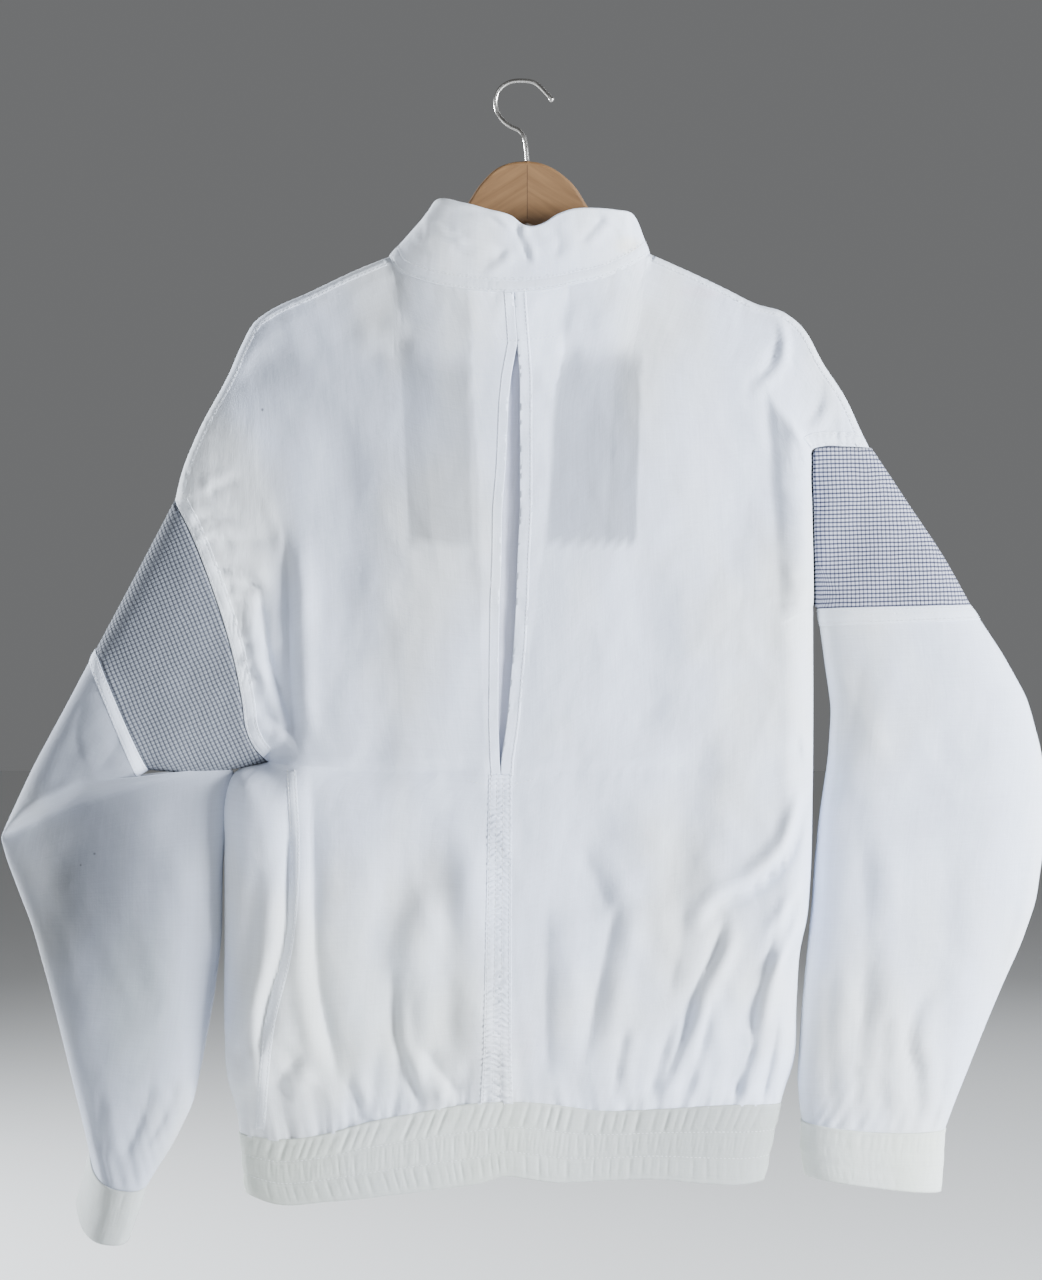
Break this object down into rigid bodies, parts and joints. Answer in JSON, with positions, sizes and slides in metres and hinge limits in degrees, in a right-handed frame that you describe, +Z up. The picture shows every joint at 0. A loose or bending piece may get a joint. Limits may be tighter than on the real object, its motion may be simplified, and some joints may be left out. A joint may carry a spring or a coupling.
{
  "type": "racing jacket on a wooden hanger",
  "caption": "White cotton racing jacket on a wooden hanger, with a stand collar, a slit back with an inverted pleat, checked mesh bands on the sleeves and an elastic waistband and cuffs.",
  "frame": {"origin": "the inside top of the hanger's hook, where it rests on a rail", "axes": "+Z up, +X towards the viewer's right when the jacket's back is seen, +Y away from that viewer, towards the jacket's front"},
  "size_m": [0.8369, 0.0859, 0.9263],
  "materials": {
    "white_cotton": "matt plain weave, slightly sheer",
    "elastic_band_cotton": "matt plain weave gathered on elastic",
    "checked_mesh": "matt mesh with a small white and blue-grey check",
    "pleat_cotton": "matt plain weave",
    "zip_tape_cotton": "matt woven tape",
    "beech": "clear satin varnish",
    "chrome_wire": "bright plating"
  },
  "bodies": {
    "root": {"back_left": "white_cotton", "back_pleat": "pleat_cotton", "back_right": "white_cotton", "collar": "white_cotton", "cuff_left": "elastic_band_cotton", "cuff_right": "elastic_band_cotton", "front_left": "white_cotton", "front_right": "white_cotton", "hanger_arm_left": "beech", "hanger_arm_right": "beech", "hanger_hook": "chrome_wire", "sleeve_lower_left": "white_cotton", "sleeve_lower_right": "white_cotton", "sleeve_mesh_left": "checked_mesh", "sleeve_mesh_right": "checked_mesh", "waistband": "elastic_band_cotton", "zip_slider": "chrome_wire", "zip_tape_left": "zip_tape_cotton", "zip_tape_right": "zip_tape_cotton"},
    "pull": {"zip_pull": "chrome_wire"}
  },
  "joints": [
    {"name": "pull_swing", "type": "hinge", "parent": "root", "child": "pull", "pos_m": [-0.003, 0.03465, -0.1788], "axis": [1, 0, 0], "range_deg": [0, 170]}
  ]
}
